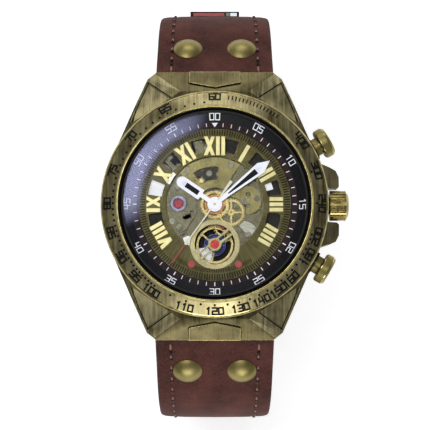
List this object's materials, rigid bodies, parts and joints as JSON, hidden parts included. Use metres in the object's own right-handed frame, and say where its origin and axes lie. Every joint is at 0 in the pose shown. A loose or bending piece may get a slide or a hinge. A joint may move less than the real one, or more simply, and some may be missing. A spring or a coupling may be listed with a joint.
{
  "type": "skeleton wristwatch",
  "caption": "Automatic wristwatch with an openworked dial over a moving gear train, hooded lugs, a crown with two pushers and a riveted leather strap.",
  "frame": {"origin": "centre of the case back's outer face, on the axis of the hands", "axes": "+Z from the case back to the crystal, +Y to 12 o'clock, +X to the crown"},
  "size_m": [0.0491, 0.087, 0.079],
  "materials": {
    "case_brass": "brushed, antiqued",
    "polished_brass": "polished, antiqued",
    "gilt": "gilt",
    "nickel": "brushed",
    "steel": "polished",
    "dark_steel": "satin",
    "blue_steel": "satin",
    "black_ring": "matt lacquer",
    "tab": "gloss enamel",
    "glass": "polished",
    "gasket": "matt",
    "ruby": "polished stone",
    "hand_white": "lacquer",
    "leather": "suede"
  },
  "bodies": {
    "case": {"case_middle": "case_brass", "lug_shields": "polished_brass", "bezel": "case_brass", "crystal": "glass", "crystal_gasket": "gasket", "flange_ring": "black_ring", "case_back": "case_brass", "back_window": "glass", "back_screws": "steel", "case_tubes": "polished_brass", "spring_bars": "steel", "movement_ring": "nickel", "main_plate": "nickel", "dial": "case_brass", "hour_numerals": "gilt", "dial_side_plate": "nickel", "top_bridge": "gilt", "centre_cock": "gilt", "leaf_plate": "nickel", "balance_bridge": "gilt", "barrel_bridge": "nickel", "train_bridge": "nickel", "jewels": "ruby", "jewel_settings": "steel", "bridge_screws": "steel", "rotor_post": "steel"},
    "barrel": {"barrel_drum": "gilt", "mainspring": "dark_steel"},
    "winding_wheel": {"barrel_arbor": "steel", "ratchet_wheel": "dark_steel"},
    "minute_train": {"centre_wheel": "gilt", "cannon_pinion": "steel", "minute_hand": "hand_white"},
    "third_wheel": {"third_wheel": "gilt"},
    "seconds_train": {"seconds_wheel": "gilt", "seconds_hand": "hand_white", "seconds_cap": "hand_white"},
    "escape_wheel": {"escape_wheel": "gilt"},
    "pallet_fork": {"pallet_fork": "steel"},
    "balance": {"balance_wheel": "gilt", "hairspring": "blue_steel"},
    "minute_wheel": {"minute_wheel": "gilt"},
    "hour_train": {"hour_wheel": "gilt", "hour_hand": "hand_white"},
    "rotor": {"rotor": "gilt", "rotor_weight": "nickel"},
    "clutch": {"clutch_pinion": "steel"},
    "crown": {"crown": "case_brass", "winding_stem": "steel"},
    "upper_pusher": {"pusher_upper": "case_brass"},
    "lower_pusher": {"pusher_lower": "case_brass"},
    "upper_strap": {"strap_12": "leather", "strap_rivets_12": "polished_brass", "strap_tab": "tab", "buckle_bar": "steel"},
    "lower_strap": {"strap_6": "leather", "strap_rivets_6": "polished_brass"},
    "buckle": {"buckle_frame": "polished_brass"},
    "tongue": {"buckle_tongue": "polished_brass"},
    "keeper": {"strap_keeper": "leather"}
  },
  "joints": [
    {"name": "seconds_spin", "type": "hinge", "parent": "case", "child": "seconds_train", "pos_m": [0, 0, 0.0065], "axis": [0, 0, 1], "continuous": true},
    {"name": "minute_spin", "type": "hinge", "parent": "case", "child": "minute_train", "pos_m": [0, 0, 0.0065], "axis": [0, 0, 1], "continuous": true},
    {"name": "hour_spin", "type": "hinge", "parent": "case", "child": "hour_train", "pos_m": [0, 0, 0.0065], "axis": [0, 0, 1], "continuous": true},
    {"name": "third_spin", "type": "hinge", "parent": "case", "child": "third_wheel", "pos_m": [0.00479, 0.00174, 0.0065], "axis": [0, 0, 1], "continuous": true},
    {"name": "barrel_spin", "type": "hinge", "parent": "case", "child": "barrel", "pos_m": [-0.00109, 0.0062, 0.0065], "axis": [0, 0, 1], "continuous": true},
    {"name": "escape_spin", "type": "hinge", "parent": "case", "child": "escape_wheel", "pos_m": [0.00158, -0.00434, 0.0065], "axis": [0, 0, 1], "continuous": true},
    {"name": "minute_wheel_spin", "type": "hinge", "parent": "case", "child": "minute_wheel", "pos_m": [0.00326, -0.00152, 0.0065], "axis": [0, 0, 1], "continuous": true},
    {"name": "ratchet_spin", "type": "hinge", "parent": "case", "child": "winding_wheel", "pos_m": [-0.00109, 0.0062, 0.0065], "axis": [0, 0, 1], "continuous": true},
    {"name": "rotor_spin", "type": "hinge", "parent": "case", "child": "rotor", "pos_m": [0, 0, 0.0065], "axis": [0, 0, 1], "continuous": true},
    {"name": "pallet_rock", "type": "hinge", "parent": "case", "child": "pallet_fork", "pos_m": [0.0031, -0.0059, 0.0065], "axis": [0, 0, 1], "range_deg": [-5, 5]},
    {"name": "balance_swing", "type": "hinge", "parent": "case", "child": "balance", "pos_m": [0, -0.0079, 0.0069], "axis": [0, 0, 1], "range_deg": [-270, 270], "stiffness_Nm_per_rad": 0.000001},
    {"name": "clutch_turn", "type": "hinge", "parent": "case", "child": "clutch", "pos_m": [0.01, 0, 0.0063], "axis": [1, 0, 0], "continuous": true},
    {"name": "crown_pull", "type": "slide", "parent": "clutch", "child": "crown", "axis": [1, 0, 0], "range_m": [0, 0.0015]},
    {"name": "upper_push", "type": "slide", "parent": "case", "child": "upper_pusher", "axis": [-0.866, -0.5, 0], "range_m": [0, 0.0012], "stiffness_N_per_m": 1500, "springref_m": -0.0006},
    {"name": "lower_push", "type": "slide", "parent": "case", "child": "lower_pusher", "axis": [-0.866, 0.5, 0], "range_m": [0, 0.0012], "stiffness_N_per_m": 1500, "springref_m": -0.0006},
    {"name": "upper_strap_hinge", "type": "hinge", "parent": "case", "child": "upper_strap", "pos_m": [0, 0.0243, 0.0042], "axis": [1, 0, 0], "range_deg": [0, 38]},
    {"name": "lower_strap_hinge", "type": "hinge", "parent": "case", "child": "lower_strap", "pos_m": [0, -0.0243, 0.0042], "axis": [-1, 0, 0], "range_deg": [0, 38]},
    {"name": "buckle_hinge", "type": "hinge", "parent": "upper_strap", "child": "buckle", "pos_m": [0, 0.00868, -0.04121], "axis": [1, 0, 0], "range_deg": [-25, 45]},
    {"name": "tongue_hinge", "type": "hinge", "parent": "buckle", "child": "tongue", "pos_m": [0, 0.00868, -0.04121], "axis": [1, 0, 0], "range_deg": [0, 45]},
    {"name": "keeper_slide", "type": "slide", "parent": "upper_strap", "child": "keeper", "axis": [0, 1, 0], "range_m": [0, 0.003]}
  ],
  "couplings": [
    {"joint": "minute_spin", "follows": "seconds_spin", "ratio": 0.016667},
    {"joint": "third_spin", "follows": "seconds_spin", "ratio": -0.125},
    {"joint": "barrel_spin", "follows": "seconds_spin", "ratio": -0.0027778},
    {"joint": "hour_spin", "follows": "seconds_spin", "ratio": 0.0013889},
    {"joint": "minute_wheel_spin", "follows": "seconds_spin", "ratio": -0.0055556},
    {"joint": "escape_spin", "follows": "seconds_spin", "ratio": -10}
  ]
}
